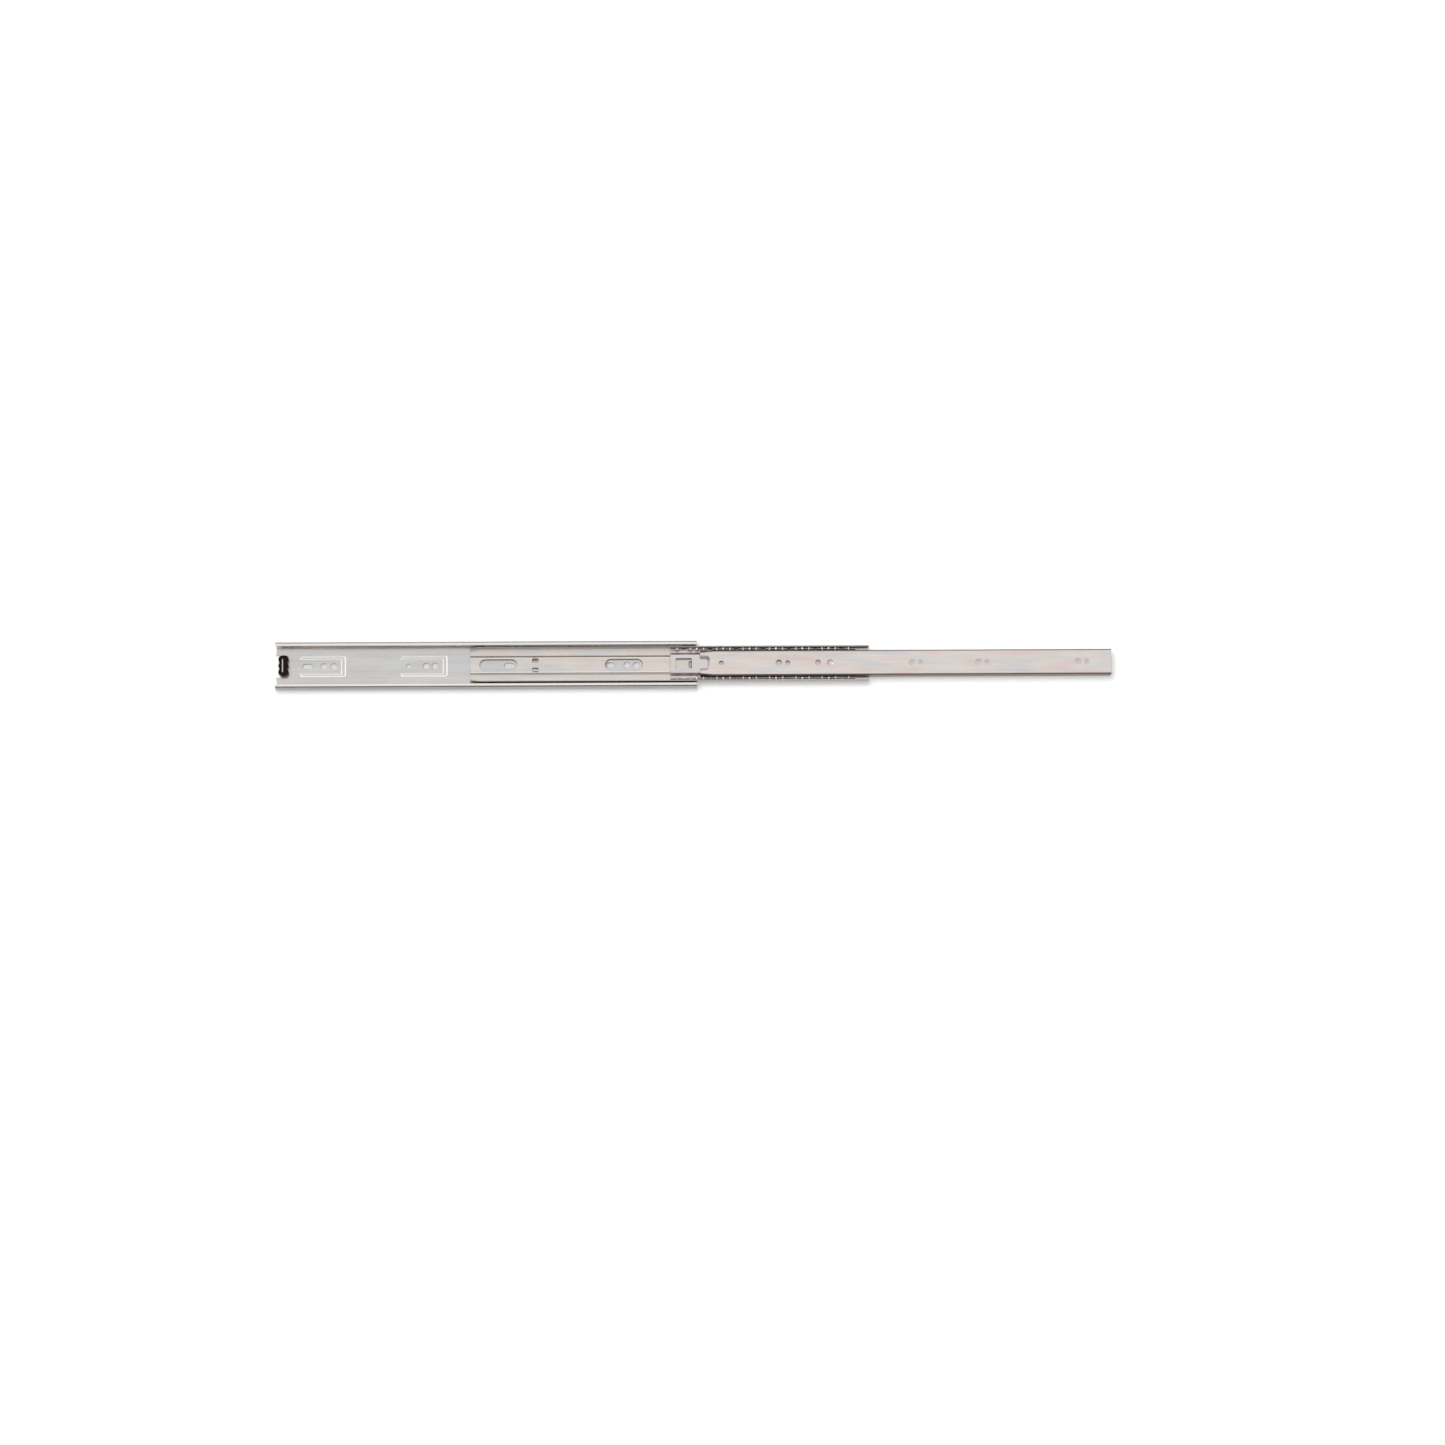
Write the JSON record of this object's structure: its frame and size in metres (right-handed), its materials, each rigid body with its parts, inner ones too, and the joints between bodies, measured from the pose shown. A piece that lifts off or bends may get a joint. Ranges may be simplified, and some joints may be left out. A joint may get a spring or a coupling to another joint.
{
  "type": "drawer slide",
  "caption": "Side-mounted full-extension drawer slide: three nested steel channels on ball cages, with a rubber rear bumper, shown pulled out.",
  "frame": {"origin": "on the outer member's mounting face, at its front end and mid-width", "axes": "+X is the way the drawer pulls out, +Y is across the slide, +Z points from the cabinet side to the drawer"},
  "size_m": [0.8056, 0.0456, 0.0127],
  "materials": {
    "outer_zinc": "bright zinc plate",
    "middle_zinc": "clear passivated zinc plate",
    "inner_zinc": "clear passivated zinc plate",
    "cage_steel": "plain cold-rolled strip",
    "ball_steel": "ground and polished",
    "bumper_rubber": "moulded, satin"
  },
  "bodies": {
    "cabinet": {"outer_member": "outer_zinc", "rear_bumper": "bumper_rubber"},
    "outer_cage": {"outer_cage_upper": "cage_steel", "outer_cage_lower": "cage_steel", "outer_ball_upper_1": "ball_steel", "outer_ball_upper_2": "ball_steel", "outer_ball_upper_3": "ball_steel", "outer_ball_upper_4": "ball_steel", "outer_ball_upper_5": "ball_steel", "outer_ball_upper_6": "ball_steel", "outer_ball_upper_7": "ball_steel", "outer_ball_upper_8": "ball_steel", "outer_ball_lower_1": "ball_steel", "outer_ball_lower_2": "ball_steel", "outer_ball_lower_3": "ball_steel", "outer_ball_lower_4": "ball_steel", "outer_ball_lower_5": "ball_steel", "outer_ball_lower_6": "ball_steel", "outer_ball_lower_7": "ball_steel", "outer_ball_lower_8": "ball_steel"},
    "middle": {"middle_member": "middle_zinc"},
    "inner_cage": {"inner_cage": "cage_steel", "inner_ball_upper_1": "ball_steel", "inner_ball_upper_2": "ball_steel", "inner_ball_upper_3": "ball_steel", "inner_ball_upper_4": "ball_steel", "inner_ball_upper_5": "ball_steel", "inner_ball_upper_6": "ball_steel", "inner_ball_lower_1": "ball_steel", "inner_ball_lower_2": "ball_steel", "inner_ball_lower_3": "ball_steel", "inner_ball_lower_4": "ball_steel", "inner_ball_lower_5": "ball_steel", "inner_ball_lower_6": "ball_steel"},
    "drawer": {"inner_member": "inner_zinc"}
  },
  "joints": [
    {"name": "middle_slide", "type": "slide", "parent": "cabinet", "child": "middle", "axis": [1, 0, 0], "range_m": [-0.1746, 0]},
    {"name": "outer_cage_slide", "type": "slide", "parent": "cabinet", "child": "outer_cage", "axis": [1, 0, 0], "range_m": [-0.0873, 0]},
    {"name": "drawer_slide", "type": "slide", "parent": "middle", "child": "drawer", "axis": [1, 0, 0], "range_m": [-0.2311, 0]},
    {"name": "inner_cage_slide", "type": "slide", "parent": "middle", "child": "inner_cage", "axis": [1, 0, 0], "range_m": [-0.11555, 0]}
  ],
  "couplings": [
    {"joint": "outer_cage_slide", "follows": "middle_slide", "ratio": 0.5},
    {"joint": "inner_cage_slide", "follows": "drawer_slide", "ratio": 0.5}
  ]
}
